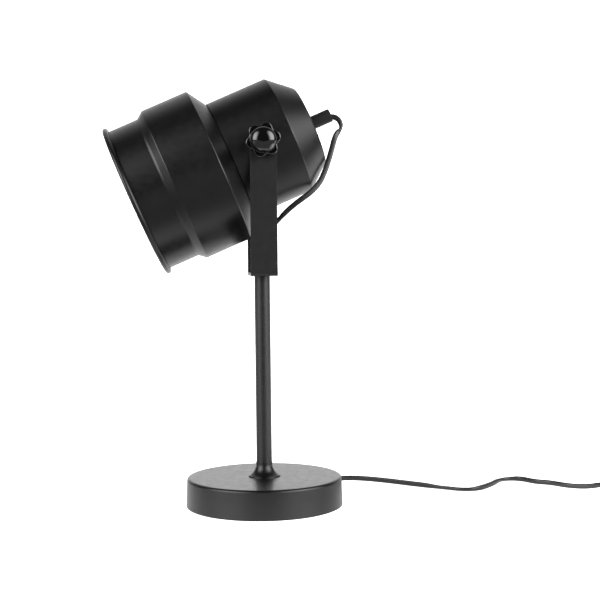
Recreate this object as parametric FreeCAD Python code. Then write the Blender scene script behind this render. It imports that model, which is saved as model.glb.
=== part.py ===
import FreeCAD, Part
import math
import os

V = FreeCAD.Vector
ORIGIN = V(0, 0, 0)
X_AXIS = V(1, 0, 0)
Y_AXIS = V(0, 1, 0)
Z_AXIS = V(0, 0, 1)

# Frame: millimetres, +Z up, origin at the centre of the pad's underside.
# The stem stands on +Z, the yoke's arms are at -Y (near) and +Y (far), and the mouth points to -X.

# --- driving dimensions -------------------------------------------------------------------
SHEET = 0.8  # spun sheet steel of every shell

BASE_R = 90.0
BASE_TOP_R = 89.0
BASE_TOP = 33.5
BASE_EDGE_R = 3.0
BASE_RIM_Z = 0.8
PAD_R = 88.2
PAD_TOP = 1.6
PLATE_R = 88.8
PLATE_TOP = 2.6
WEIGHT_R = 86.5
RECESS_R = 15.0
RECESS_TOP = 22.0

STEM_R = 9.0
STEM_BORE_R = 7.5
COLLAR_FOOT_R = 18.3
COLLAR_MID = (12.4, 5.6)  # radius and height half-way up the flare
COLLAR_TOP_R = 9.5
COLLAR_FLARE_H = 13.5
COLLAR_H = 16.5
COLLAR_LIP = 1.0

NIPPLE_R = 5.0  # M10 x 1 hollow threaded tube
NIPPLE_BORE_R = 3.5
NIPPLE_HOLE_R = 5.2
HEX_NUT_FLATS = 14.0
NUT_H = 4.0
WASHER_H = 1.5

YOKE_BOTTOM = 264.8
YOKE_T = 3.0
YOKE_W = 29.2
YOKE_INNER_Y = 71.0
YOKE_BEND_R = 1.2
PIVOT_Z = 411.6

HEAD_TILT = 23.4  # degrees that the mouth looks below level
MOUTH_R = 84.1
DRUM_R = 90.6
REAR_R = 68.9
CURL_R = 3.0
# stations along the head's axis, from the pivot, positive towards the back
RIM_T = -156.7
RAMP_T = (-115.5, -107.3)
SHOULDER_T = (-52.6, -37.8)
NECK_END_T = -20.0
REAR_FRONT_T = -37.4
REAR_EDGE_T = 33.8
BACK_T = 61.3
BACK_CORNER_R = 45.5
BACK_BEND_R = 4.0
BOSS_R = 11.5
BOSS_TOP_R = 8.6
BOSS_H = 3.6
GRIP_R = 7.7
GRIP_RISE = 1.4  # the grip's outside sits this much above its bore
GRIP_T = (BACK_T + BOSS_H, 88.3)
GRIP_SCREW_BACK = 6.0

# the lampholder, from its open end
HOLDER_R = 18.4
HOLDER_L = 53.0
HOLDER_SPLIT = 34.0
HOLDER_NUT_H = 3.0
SHELL_R = 13.75
SHELL_WALL = 0.55
SHELL_START = 2.0
BLOCK_START = 27.2
BULB_R = 30.0
BULB_NECK_R = 14.6
BULB_FRONT = -81.5
BULB_WALL = 0.9
CAP_R = 13.1
CAP_WALL = 0.6

STUD_R = 3.0  # M6 clamp stud of each knob
STUD_NUT_R = 3.05
STUD_HOLE_R = 3.1
SPACER_R = 11.0
SPACER_FACE_Y = 70.85
KNOB_TIP_R = 18.0
KNOB_VALLEY_R = 14.5
KNOB_LOBE_R = 6.0
KNOB_LOBES = 6
KNOB_TURN = 14.0
KNOB_SKIRT_H = 8.0
KNOB_DOME_R = 14.0
KNOB_DOME_H = 8.7
KNOB_SEAT_Y = 75.3
KNOB_WASHER_Y = 74.1

FLEX_D = 6.0  # width of the flat two-core flex
FLEX_BORE_R = 3.05
FLEX_REST_Z = 3.05  # centre of the flex where it lies on the table
GLAND_AZIMUTH = 57.0
GLAND_Z = 9.0
GLAND_TIP_R = 114.0
LEAD_JOINT_R = 110.0
INNER_BEND_R = 7.5

SWITCH_L = 66.0
SWITCH_W = 28.0
SWITCH_H = 18.0
SWITCH_SPLIT_Z = 7.0
SWITCH_WALL = 2.0
SWITCH_START = V(422.2, 32.7, 0)
SWITCH_HEADING = -13.8
ROCKER_PIVOT_Z = 12.0
ROCKER_PIN_R = 1.2
ROCKER_REST = 6.0

COIL_CENTRE = V(486, -58, 0)
COIL_R = 28.5
COIL_W = 16.6
COIL_H = 12.2
COIL_CORNER_R = 4.0
COIL_STUB = 28.0
COIL_OUT_Z = 7.0

PLUG_START = V(440.02, -87.13, 7)
PLUG_SLEEVE_L = 14.0
PLUG_HEADING = 184.0
PLUG_L = 36.0
PIN_R = 2.0
PIN_L = 19.0
PIN_SPACING = 18.6

MAINS_POINTS_A = [
    (71.0, 114.0, 6.4),
    (82.0, 128.5, 3.6),
    (100.0, 136.5, FLEX_REST_Z),
    (124.0, 135.5, FLEX_REST_Z),
    (153.0, 117.5, FLEX_REST_Z),
    (182.0, 92.5, FLEX_REST_Z),
    (206.0, 73.0, FLEX_REST_Z),
    (225.0, 57.0, FLEX_REST_Z),
    (241.0, 45.5, FLEX_REST_Z),
    (259.0, 46.5, FLEX_REST_Z),
    (276.0, 66.0, FLEX_REST_Z),
    (293.0, 90.0, FLEX_REST_Z),
    (306.0, 107.0, FLEX_REST_Z),
    (324.0, 108.0, FLEX_REST_Z),
    (338.0, 92.0, FLEX_REST_Z),
    (353.0, 78.5, FLEX_REST_Z),
    (370.0, 60.5, FLEX_REST_Z),
    (385.0, 46.5, FLEX_REST_Z),
    (397.3, 39.4, 4.4),
]
MAINS_POINTS_B = [
    (499.3, 13.8, 6.6),
    (509.8, 5.3, 5.0),
    (514.7, -6.7, 3.4),
    (514.5, -20.2, FLEX_REST_Z),
]
PLUG_LEAD_POINTS = [
    (449.0, -86.5, 7.0),
]
FLEX_TURN_T = 91.4
HEAD_FLEX_POINTS = [
    (91.9, -1.0, 442.6),
    (92.8, -4.0, 431.6),
    (85.4, -8.0, 424.3),
    (80.6, -13.0, 407.9),
    (72.3, -20.0, 384.1),
    (59.6, -27.0, 364.0),
    (41.2, -30.0, 349.9),
    (24.3, -28.0, 334.5),
    (15.0, -16.0, 320.0),
    (4.0, -5.0, 304.5),
]


# --- shape helpers ------------------------------------------------------------------------
def direction(azimuth):
    """Unit vector in the table's plane, azimuth in degrees from +X."""
    a = math.radians(azimuth)
    return V(math.cos(a), math.sin(a), 0)


def upright(angle):
    """Unit vector in the XZ plane, angle in degrees from +X."""
    a = math.radians(angle)
    return V(math.cos(a), 0, math.sin(a))


def straight(start, end):
    """One straight edge, or none where the two points meet."""
    if (end - start).Length < 1e-6:
        return []
    return [Part.LineSegment(start, end).toShape()]


def rounded_path(points, radii):
    """Edges through 3-D points, with a tangent arc of the given radius at each inner point."""
    edges = []
    start = points[0]
    for before, corner, after, radius in zip(points, points[1:], points[2:], radii):
        back = (before - corner).normalize()
        on = (after - corner).normalize()
        half = back.getAngle(on) / 2
        arc_start = corner + back * (radius / math.tan(half))
        arc_end = corner + on * (radius / math.tan(half))
        edges += straight(start, arc_start)
        if radius:
            bulge = radius / math.sin(half) - radius
            arc_middle = corner + (back + on).normalize() * bulge
            edges.append(Part.Arc(arc_start, arc_middle, arc_end).toShape())
        start = arc_end
    return edges + straight(start, points[-1])


def rounded_face(corners, radii):
    """Flat face through the corners, each rounded to its own radius."""
    middle = (corners[-1] + corners[0]) / 2
    return Part.Face(Part.Wire(rounded_path([middle] + corners + [middle], radii)))


def outline(points, radii):
    """Closed face in the XZ plane through (r, z) points, each corner with its own radius."""
    return rounded_face([V(r, 0, z) for r, z in points], radii)


def lathe(points, radii=None, turn=360.0):
    """Solid turned about Z from a closed (r, z) profile."""
    face = outline(points, radii or [0] * len(points))
    return face.revolve(ORIGIN, Z_AXIS, turn).removeSplitter()


def tube(outer_r, inner_r, low, high):
    return lathe([(inner_r, low), (outer_r, low), (outer_r, high), (inner_r, high)])


def sheet_profile(points, bends, thickness):
    """Closed (r, z) profile of a sheet to the left of the points, with its corners' radii."""
    normals = []
    for (r0, z0), (r1, z1) in zip(points, points[1:]):
        run = math.hypot(r1 - r0, z1 - z0)
        normals.append(((z0 - z1) / run, (r1 - r0) / run))
    inner = []
    inner_bends = []
    sides = zip(points, [0] + bends + [0], normals[:1] + normals, normals + normals[-1:])
    for (r, z), bend, (r0, z0), (r1, z1) in sides:
        miter = thickness / (1 + r0 * r1 + z0 * z1)
        inner.append((r + (r0 + r1) * miter, z + (z0 + z1) * miter))
        left_turn = r0 * z1 - z0 * r1
        inner_bends.append(bend - thickness * math.copysign(min(1, abs(left_turn) * 1e6), left_turn))
    return points + inner[::-1], [0] + bends + [0] + inner_bends[::-1]


def hexagon(across_flats, height):
    corner_r = across_flats / math.sqrt(3)
    corners = [V(corner_r * c.x, corner_r * c.y, 0) for c in map(direction, range(0, 361, 60))]
    return Part.Face(Part.makePolygon(corners)).extrude(V(0, 0, height))


def hex_nut(bore_r, low):
    nut = hexagon(HEX_NUT_FLATS, NUT_H)
    nut.translate(V(0, 0, low))
    crown = lathe([(0, low), (7.4, low), (8.3, low + 0.9), (8.3, low + NUT_H), (0, low + NUT_H)])
    return nut.common(crown).cut(Part.makeCylinder(bore_r, NUT_H, V(0, 0, low)))


def rounded_slab(length, width, low, high, corner_r):
    """Slab centred on X and Y with rounded upright corners."""
    x = length / 2
    y = width / 2
    corners = [V(x, -y, low), V(x, y, low), V(-x, y, low), V(-x, -y, low)]
    return rounded_face(corners, [corner_r] * 4).extrude(V(0, 0, high - low)).removeSplitter()


def on_head(shape):
    """Put a shape made along +Z at the head's place: +Z becomes the head's axis towards the back."""
    shape.rotate(ORIGIN, Y_AXIS, 90 - HEAD_TILT)
    shape.translate(V(0, 0, PIVOT_Z))
    return shape


def on_pivot(shape, side):
    """Put a shape made along +Z at the pivot, pointing outwards: side -1 is near, +1 is far."""
    shape.rotate(ORIGIN, X_AXIS, -90 * side)
    shape.translate(V(0, 0, PIVOT_Z))
    return shape


def on_heading(shape, start, heading):
    """Put a shape made along +X at a place on the table."""
    shape.rotate(ORIGIN, Z_AXIS, heading)
    shape.translate(start)
    return shape


def head_point(along):
    """Point on the head's axis."""
    tilt = math.radians(HEAD_TILT)
    return V(along * math.cos(tilt), 0, PIVOT_Z + along * math.sin(tilt))


def cord(name, points):
    """Round tube along straight runs and tangent arcs as large as the runs allow."""
    points = [V(*p) for p in points]
    runs = [(b - a).Length for a, b in zip(points, points[1:])]
    turns = [
        math.pi - (a - b).getAngle(c - b) for a, b, c in zip(points, points[1:], points[2:])
    ]
    radii = [
        0.45 * min(r0, r1) / math.tan(turn / 2) for r0, r1, turn in zip(runs, runs[1:], turns)
    ]
    path = Part.Wire(rounded_path(points, radii))
    section = Part.Wire(Part.makeCircle(FLEX_D / 2, points[0], points[1] - points[0]))
    solid = Part.Wire(path.Edges).makePipeShell([section], True, True)
    expected = math.pi * FLEX_D**2 / 4 * path.Length
    print(
        name,
        "length %.1f" % path.Length,
        "volume ratio %.4f" % (solid.Volume / expected),
        "radii",
        " ".join("%.0f" % r for r in radii),
        "runs",
        " ".join("%.0f" % r for r in runs),
    )
    return solid


def save(name, shape):
    if shape.ShapeType == "Compound" and len(shape.Solids) == 1:
        shape = shape.Solids[0]
    shape.exportStep("parts/%s.step" % name)
    print(name, len(shape.Solids), shape.isValid(), "%.0f mm3" % shape.Volume)


# --- base ---------------------------------------------------------------------------------
def base_cover():
    side = [(BASE_R, BASE_RIM_Z), (BASE_TOP_R, BASE_TOP), (NIPPLE_HOLE_R, BASE_TOP)]
    shell = lathe(*sheet_profile(side, [BASE_EDGE_R], SHEET))
    hole = Part.makeCylinder(4.6, 20, V(0, 0, 0), X_AXIS)
    return shell.cut(on_heading(hole, direction(GLAND_AZIMUTH) * 80 + V(0, 0, GLAND_Z), GLAND_AZIMUTH))


def base_weight():
    """Cast block with a recess for the nut and a channel for the lead."""
    top = BASE_TOP - SHEET
    edge = 3.5
    block = lathe(
        [(NIPPLE_HOLE_R, PLATE_TOP), (WEIGHT_R, PLATE_TOP), (WEIGHT_R, top), (NIPPLE_HOLE_R, top)],
        [0, 0, edge, 0],
    )
    recess = Part.makeCylinder(RECESS_R, RECESS_TOP - PLATE_TOP, V(0, 0, PLATE_TOP))
    channel = Part.makeBox(WEIGHT_R + 5, 9, 13 - PLATE_TOP, V(0, -4.5, PLATE_TOP))
    pocket = Part.makeBox(12, 18, 16 - PLATE_TOP, V(79, -9, PLATE_TOP))
    inside = on_heading(channel.fuse(pocket), ORIGIN, GLAND_AZIMUTH)
    return block.cut([recess, inside])


def base_gland(cover):
    """Moulded strain relief: a grommet held in the cover's side, with a tapered sleeve."""
    profile = [
        (FLEX_BORE_R, 84.0),
        (6.2, 84.0),
        (6.2, 92.0),
        (4.9, 93.0),
        (3.9, GLAND_TIP_R),
        (FLEX_BORE_R, GLAND_TIP_R),
    ]
    sleeve = lathe(profile, [0, 1.0, 1.2, 1.0, 0.5, 0])
    sleeve.rotate(ORIGIN, Y_AXIS, 90)
    return on_heading(sleeve, V(0, 0, GLAND_Z), GLAND_AZIMUTH).cut(cover)


def stem_collar():
    """Trumpet-shaped turned collar that covers the stem's foot."""
    low = BASE_TOP
    high = BASE_TOP + COLLAR_H
    bore = STEM_R + 0.05
    foot = V(COLLAR_FOOT_R, 0, low + COLLAR_LIP)
    neck = V(COLLAR_TOP_R, 0, low + COLLAR_FLARE_H)
    flare = Part.Arc(foot, V(COLLAR_MID[0], 0, low + COLLAR_MID[1]), neck)
    ring = [
        neck,
        V(COLLAR_TOP_R, 0, high),
        V(bore, 0, high),
        V(bore, 0, low),
        V(COLLAR_FOOT_R, 0, low),
        foot,
    ]
    sides = [Part.LineSegment(a, b).toShape() for a, b in zip(ring, ring[1:])]
    wire = Part.Wire([flare.toShape()] + sides)
    return Part.Face(wire).revolve(ORIGIN, Z_AXIS, 360)


# --- yoke ---------------------------------------------------------------------------------
def yoke():
    """Flat bar bent to a U, with round arm ends."""
    outer = YOKE_INNER_Y + YOKE_T
    web_top = YOKE_BOTTOM + YOKE_T
    x = YOKE_W / 2
    corners = [
        V(-x, -outer, PIVOT_Z),
        V(-x, -outer, YOKE_BOTTOM),
        V(-x, outer, YOKE_BOTTOM),
        V(-x, outer, PIVOT_Z),
        V(-x, YOKE_INNER_Y, PIVOT_Z),
        V(-x, YOKE_INNER_Y, web_top),
        V(-x, -YOKE_INNER_Y, web_top),
        V(-x, -YOKE_INNER_Y, PIVOT_Z),
    ]
    outer_bend = YOKE_BEND_R + YOKE_T
    radii = [0, outer_bend, outer_bend, 0, 0, YOKE_BEND_R, YOKE_BEND_R, 0]
    bar = rounded_face(corners, radii).extrude(V(YOKE_W, 0, 0))
    for y in (-outer, YOKE_INNER_Y):
        bar = bar.fuse(Part.makeCylinder(x, YOKE_T, V(0, y, PIVOT_Z), Y_AXIS))
    bar = bar.removeSplitter()
    through = Part.makeCylinder(STUD_HOLE_R, 2 * outer + 2, V(0, -outer - 1, PIVOT_Z), Y_AXIS)
    centre = Part.makeCylinder(NIPPLE_HOLE_R, YOKE_T, V(0, 0, YOKE_BOTTOM))
    return bar.cut([through, centre])


# --- head ---------------------------------------------------------------------------------
def rolled_rim():
    """Open curl of the sheet round the mouth's edge, turned outwards."""
    centre = V(MOUTH_R - SHEET + CURL_R, 0, RIM_T + CURL_R)
    outer, inner = [
        [centre + upright(angle) * radius for angle in (180, 330, 480)]
        for radius in (CURL_R, CURL_R - SHEET)
    ]
    edges = [
        Part.Arc(*outer).toShape(),
        Part.LineSegment(outer[2], inner[2]).toShape(),
        Part.Arc(*inner[::-1]).toShape(),
        Part.LineSegment(inner[0], outer[0]).toShape(),
    ]
    return Part.Face(Part.Wire(edges)).revolve(ORIGIN, Z_AXIS, 360)


def front_shade():
    """Spun shade: rolled rim, mouth tube, ramp, drum, shoulder and the neck that slips in."""
    neck_r = REAR_R - SHEET - 0.1
    side = [
        (MOUTH_R, RIM_T + CURL_R),
        (MOUTH_R, RAMP_T[0]),
        (DRUM_R, RAMP_T[1]),
        (DRUM_R, SHOULDER_T[0]),
        (neck_r, SHOULDER_T[1]),
        (neck_r, NECK_END_T),
    ]
    wall = lathe(*sheet_profile(side, [5.0, 1.8, 1.4, 0.9], SHEET))
    return on_head(wall.fuse(rolled_rim()).removeSplitter())


def rear_housing():
    """Spun cup with a conical back, bored for the studs and the nipple."""
    side = [
        (REAR_R, REAR_FRONT_T),
        (REAR_R, REAR_EDGE_T),
        (BACK_CORNER_R, BACK_T),
        (NIPPLE_HOLE_R, BACK_T),
    ]
    cup = lathe(*sheet_profile(side, [1.6, BACK_BEND_R], SHEET))
    holes = Part.makeCylinder(STUD_HOLE_R + 0.2, 200, V(0, -100, 0), Y_AXIS)
    return on_head(cup.cut(holes))


def rear_drum(radius):
    """The solid that the rear housing's straight wall would fill, for saddles."""
    return on_head(Part.makeCylinder(radius, 100, V(0, 0, -50)))


def on_holder(shape):
    """Put a shape made along +Z from the lampholder's open end at its place in the head."""
    shape.translate(V(0, 0, BACK_T - SHEET - HOLDER_NUT_H - HOLDER_L))
    return on_head(shape)


def lampholder_cap():
    """Moulded dome that screws on the nipple and closes the lampholder's back."""
    wall = 2.0
    side = [(HOLDER_R, HOLDER_SPLIT), (HOLDER_R, 42.0), (9.0, HOLDER_L), (NIPPLE_R, HOLDER_L)]
    dome = lathe(*sheet_profile(side, [3.0, 2.2], wall))
    neck = tube(8.0, NIPPLE_R, 44.0, 52.0)
    return on_holder(dome.fuse(neck).removeSplitter())


def lampholder_body():
    """Moulded barrel with its shade-ring flange, flared at the lamp's side."""
    bore_r = SHELL_R + 0.05
    mouth_r = SHELL_R + 0.45
    profile = [
        (mouth_r, 0),
        (18.6, 0),
        (20.8, 6.0),
        (20.8, 9.0),
        (18.8, 10.0),
        (HOLDER_R, HOLDER_SPLIT),
        (bore_r, HOLDER_SPLIT),
        (bore_r, 28.0),
        (mouth_r, 27.0),
    ]
    return on_holder(lathe(profile, [0.6, 1.5, 0.8, 0.6, 0, 0, 0, 0, 0]))


def contact_block():
    """Ceramic disc with a raised rim, behind the shell."""
    outer_r = SHELL_R - 0.05
    rim_h = 1.4
    block = tube(outer_r, 1.6, BLOCK_START + rim_h, HOLDER_SPLIT)
    rim = tube(outer_r, 12.0, BLOCK_START, BLOCK_START + rim_h)
    return on_holder(block.fuse(rim).removeSplitter())


def centre_contact():
    """Sprung brass strip with its rivet, at the middle of the contact block."""
    strip = rounded_slab(16.0, 5.0, 27.6, 28.6, 2.4)
    button = Part.makeCylinder(2.6, 0.6, V(0, 0, 27.0))
    rivet = Part.makeCylinder(1.5, 5.0, V(0, 0, 28.6))
    return on_holder(strip.fuse([button, rivet]).removeSplitter())


def bulb_glass():
    """Lamp envelope: round front, tapering to the neck that sits in the cap."""
    side = [
        (0, BULB_FRONT),
        (BULB_R, BULB_FRONT),
        (BULB_R, -41.0),
        (BULB_NECK_R, -16.0),
        (BULB_NECK_R, -6.0),
        (12.3, -3.0),
        (12.3, 4.0),
    ]
    return on_holder(lathe(*sheet_profile(side, [BULB_R, 24.0, 18.0, 2.0, 1.0], BULB_WALL)))


def bulb_cap():
    """Screw cap with its insulator step and end contact."""
    inner_r = CAP_R - CAP_WALL
    profile = [
        (inner_r, -2.4),
        (CAP_R, -2.4),
        (CAP_R, 23.0),
        (6.2, 26.0),
        (4.6, 26.9),
        (0, 26.9),
        (0, 25.9),
        (4.0, 25.9),
        (5.8, 25.0),
        (inner_r, 22.2),
    ]
    return on_holder(lathe(profile))


def boss_washer():
    """Shallow cone that spreads the nut's load on the housing's flat back."""
    bore_r = NIPPLE_R + 0.05
    profile = [
        (bore_r, BACK_T),
        (BOSS_R, BACK_T),
        (BOSS_R, BACK_T + 0.8),
        (BOSS_TOP_R, GRIP_T[0]),
        (bore_r, GRIP_T[0]),
    ]
    return on_head(lathe(profile, [0, 0, 0.4, 0.5, 0]))


def cord_grip():
    """Moulded grip that screws on the nipple's end and clamps the flex, thicker above its bore."""
    low, high = GRIP_T
    nipple_room = 11.0
    sleeve = lathe([(0, low), (GRIP_R, low), (GRIP_R, high), (0, high)], [0, 0.3, 1.0, 0])
    sleeve.translate(V(-GRIP_RISE, 0, 0))
    ways = [
        Part.makeCylinder(NIPPLE_R, nipple_room, V(0, 0, low)),
        Part.makeCylinder(FLEX_BORE_R, high - low, V(0, 0, low)),
        Part.makeCylinder(1.5, 12, V(-GRIP_RISE, 0, high - GRIP_SCREW_BACK), Y_AXIS),
    ]
    return on_head(sleeve.cut(ways))


def grip_screw():
    """Small clamp screw across the grip, on the far side."""
    at = GRIP_T[1] - GRIP_SCREW_BACK
    head_y = GRIP_R - 0.1
    shank = Part.makeCylinder(1.45, head_y - 3.0, V(-GRIP_RISE, 3.3, at), Y_AXIS)
    head = Part.makeCylinder(2.4, 1.5, V(-GRIP_RISE, GRIP_R, at), Y_AXIS)
    slot = Part.makeBox(0.6, 0.8, 6, V(-GRIP_RISE - 0.3, GRIP_R + 0.8, at - 3))
    return on_head(shank.fuse(head).cut(slot).removeSplitter())


def pivot_nut(side):
    """Nut welded inside the rear drum, its face shaped to the drum's wall."""
    nut = hexagon(11.0, 20.0).cut(Part.makeCylinder(STUD_NUT_R, 20))
    nut.translate(V(0, 0, 61.0))
    return on_pivot(nut, side).common(rear_drum(REAR_R - SHEET))


def pivot_spacer(side):
    """Moulded saddle washer between the drum and the yoke's arm."""
    washer = tube(SPACER_R, STUD_HOLE_R + 0.1, 60.0, SPACER_FACE_Y)
    return on_pivot(washer, side).cut(rear_drum(REAR_R))


# --- clamp knobs --------------------------------------------------------------------------
def star_face():
    """Outline of the knob's skirt: round lobes joined by tangent hollow arcs."""
    lobe_at = KNOB_TIP_R - KNOB_LOBE_R
    half_step = 180.0 / KNOB_LOBES
    cos_half = math.cos(math.radians(half_step))
    # the hollow's circle touches the valley radius and both neighbouring lobes
    top = lobe_at**2 + KNOB_VALLEY_R**2 - 2 * lobe_at * KNOB_VALLEY_R * cos_half - KNOB_LOBE_R**2
    hollow_r = top / (2 * (KNOB_LOBE_R - KNOB_VALLEY_R + lobe_at * cos_half))
    hollow_at = KNOB_VALLEY_R + hollow_r
    edges = []
    for lobe in range(KNOB_LOBES):
        angle = KNOB_TURN + lobe * 2 * half_step
        before = direction(angle - half_step) * hollow_at
        after = direction(angle + half_step) * hollow_at
        centre = direction(angle) * lobe_at
        leave_before = centre + (before - centre).normalize() * KNOB_LOBE_R
        leave_after = centre + (after - centre).normalize() * KNOB_LOBE_R
        next_centre = direction(angle + 2 * half_step) * lobe_at
        join = next_centre + (after - next_centre).normalize() * KNOB_LOBE_R
        edges.append(Part.Arc(leave_before, direction(angle) * KNOB_TIP_R, leave_after).toShape())
        valley = direction(angle + half_step) * KNOB_VALLEY_R
        edges.append(Part.Arc(leave_after, valley, join).toShape())
    return Part.Face(Part.Wire(edges))


def knob_body():
    """Moulded star skirt under a round dome, along +Z from the yoke's centre plane."""
    skirt = star_face().extrude(V(0, 0, KNOB_SKIRT_H))
    rims = [e for e in skirt.Edges if abs(e.BoundBox.ZMin - e.BoundBox.ZMax) < 1e-6]
    skirt = skirt.makeFillet(1.6, rims)
    dome_r = (KNOB_DOME_R**2 + KNOB_DOME_H**2) / (2 * KNOB_DOME_H)
    ball = Part.makeSphere(dome_r, V(0, 0, KNOB_SKIRT_H + KNOB_DOME_H - dome_r))
    above = Part.makeCylinder(KNOB_DOME_R, KNOB_DOME_H + 1, V(0, 0, KNOB_SKIRT_H - 1))
    knob = skirt.fuse(ball.common(above)).removeSplitter()
    bore = Part.makeCylinder(STUD_R, 6.0)
    knob = knob.cut(bore)
    knob.translate(V(0, 0, KNOB_SEAT_Y))
    return knob


def save_knob(name, side):
    save(name + "_grip", on_pivot(knob_body(), side))
    stud = Part.makeCylinder(STUD_R, KNOB_SEAT_Y + 6.0 - 60.4, V(0, 0, 60.4))
    stud = stud.makeChamfer(0.6, [stud.Edges[i] for i in (0, 2)])
    save(name + "_stud", on_pivot(stud, side))
    washer = tube(9.0, STUD_R + 0.1, KNOB_WASHER_Y, KNOB_SEAT_Y)
    save(name + "_washer", on_pivot(washer, side))


# --- in-line switch, made along +X from its lamp end --------------------------------------
def switch_block(inset):
    """The switch's outer form, or the hollow inside it: waisted ends, rounded top."""
    high = SWITCH_H - inset
    middle = rounded_slab(SWITCH_L - 20, SWITCH_W - 2 * inset, inset, high, 9.0 - inset)
    ends = rounded_slab(SWITCH_L - 2 * inset, SWITCH_W / 2 - 2 * inset, inset, high - 4, 5.0 - inset)
    block = middle.fuse(ends).removeSplitter()
    top = [e for e in block.Edges if e.BoundBox.ZMin > high - 1e-3]
    block = block.makeFillet(2.6 - inset, top)
    block.translate(V(SWITCH_L / 2, 0, 0))
    return block


def switch_halves():
    """Lower tray and upper cover; the cover has the rocker's window and its bearings."""
    outer = switch_block(0.0)
    shell = outer.cut(switch_block(SWITCH_WALL))
    centre = SWITCH_L / 2
    lugs = Part.makeBox(7, 1.7, 8.2, V(centre - 3.5, 6.3, 8.6))
    lugs = lugs.fuse(Part.makeBox(7, 1.7, 8.2, V(centre - 3.5, -8.0, 8.6)))
    window = rounded_slab(21.0, 12.2, SWITCH_H - SWITCH_WALL - 1, SWITCH_H + 1, 1.5)
    window.translate(V(centre, 0, 0))
    bores = Part.makeCylinder(ROCKER_PIN_R + 0.05, 20, V(centre, -10, ROCKER_PIVOT_Z), Y_AXIS)
    lead_way = Part.makeCylinder(FLEX_BORE_R, SWITCH_L, V(0, 0, SWITCH_SPLIT_Z), X_AXIS)
    screw_ways = []
    bosses = []
    for x in (14.0, SWITCH_L - 14.0):
        bosses.append(Part.makeCylinder(3.2, SWITCH_H - SWITCH_WALL, V(x, 8.4, SWITCH_WALL / 2)))
        screw_ways.append(Part.makeCylinder(1.5, 13.0, V(x, 8.4, 0)))
        screw_ways.append(Part.makeCylinder(2.7, 1.6, V(x, 8.4, 0)))
    whole = shell.fuse(lugs).fuse([b.common(outer) for b in bosses]).cut([window, bores, lead_way])
    whole = whole.cut(screw_ways)
    under = Part.makeBox(100, 60, SWITCH_SPLIT_Z, V(-10, -30, 0))
    return whole.common(under), whole.cut(under)


def switch_screws():
    screws = []
    for x in (14.0, SWITCH_L - 14.0):
        shank = Part.makeCylinder(1.45, 11.0, V(x, 8.4, 1.4))
        head = Part.makeCylinder(2.6, 1.2, V(x, 8.4, 0.3))
        slot = Part.makeBox(5.4, 0.7, 0.7, V(x - 2.7, 8.05, 0.2))
        screws.append(shank.fuse(head).cut(slot).removeSplitter())
    return Part.makeCompound(screws)


def switch_rocker():
    """Rocker with a shallow V top, on two pins, resting with its lamp end down."""
    half_l = 9.4
    half_w = 5.6
    side = [
        (-half_l, 5.4),
        (0, 4.4),
        (half_l, 5.4),
        (7.6, -1.0),
        (2.5, -3.4),
        (-2.5, -3.4),
        (-7.6, -1.0),
    ]
    corners = [V(x, -half_w, z) for x, z in side]
    body = rounded_face(corners, [1.0, 3.0, 1.0, 1.0, 1.0, 1.0, 1.0]).extrude(V(0, 2 * half_w, 0))
    pins = Part.makeCylinder(ROCKER_PIN_R, 15.4, V(0, -7.7, 0), Y_AXIS)
    rocker = body.fuse(pins).removeSplitter()
    rocker.rotate(ORIGIN, Y_AXIS, -ROCKER_REST)
    rocker.translate(V(SWITCH_L / 2, 0, ROCKER_PIVOT_Z))
    return rocker


def switch_contacts():
    """Two brass terminals with the contact strips that the rocker presses together."""
    centre = SWITCH_L / 2
    terminals = []
    for way in (-1, 1):
        block = Part.makeBox(7, 6, 5, V(centre + way * 13 - 3.5, -9.5, SWITCH_WALL))
        hole = Part.makeCylinder(1.3, 8, V(centre + way * 13 - 4, -6.5, 4.4), X_AXIS)
        strip = Part.makeBox(11, 4, 0.6, V(min(centre + way * 1.5, centre + way * 12.5), -8.5, 3.4))
        terminals.append(block.cut(hole).fuse(strip).removeSplitter())
    return Part.makeCompound(terminals)


# --- put-away lead and plug ---------------------------------------------------------------
def coil_ring(inset, turn=360.0):
    """Ring with the section of the bundle of turns, less the inset all round."""
    r0 = COIL_R - COIL_W / 2 + inset
    r1 = COIL_R + COIL_W / 2 - inset
    corners = [(r0, inset), (r1, inset), (r1, COIL_H - inset), (r0, COIL_H - inset)]
    return lathe(corners, [COIL_CORNER_R - inset] * 4, turn)


def cord_coil():
    """Outer form of the tied coil, pinched at its tie, with its two ends leaving it."""
    groove = coil_ring(0, 20.0).cut(coil_ring(1.2))
    groove.rotate(ORIGIN, Z_AXIS, 140)
    stub = Part.makeCylinder(FLEX_D / 2, COIL_STUB, V(COIL_R, 0, FLEX_REST_Z), Y_AXIS)
    tail = Part.makeCylinder(FLEX_D / 2, COIL_STUB, V(-COIL_STUB, -COIL_R, COIL_OUT_Z), X_AXIS)
    coil = coil_ring(0).cut(groove).fuse([stub, tail]).removeSplitter()
    coil.translate(COIL_CENTRE)
    return coil


def coil_tie():
    band = coil_ring(0.15, 18.0).cut(coil_ring(1.15))
    band.rotate(ORIGIN, Z_AXIS, 141)
    band.translate(COIL_CENTRE)
    return band


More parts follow.
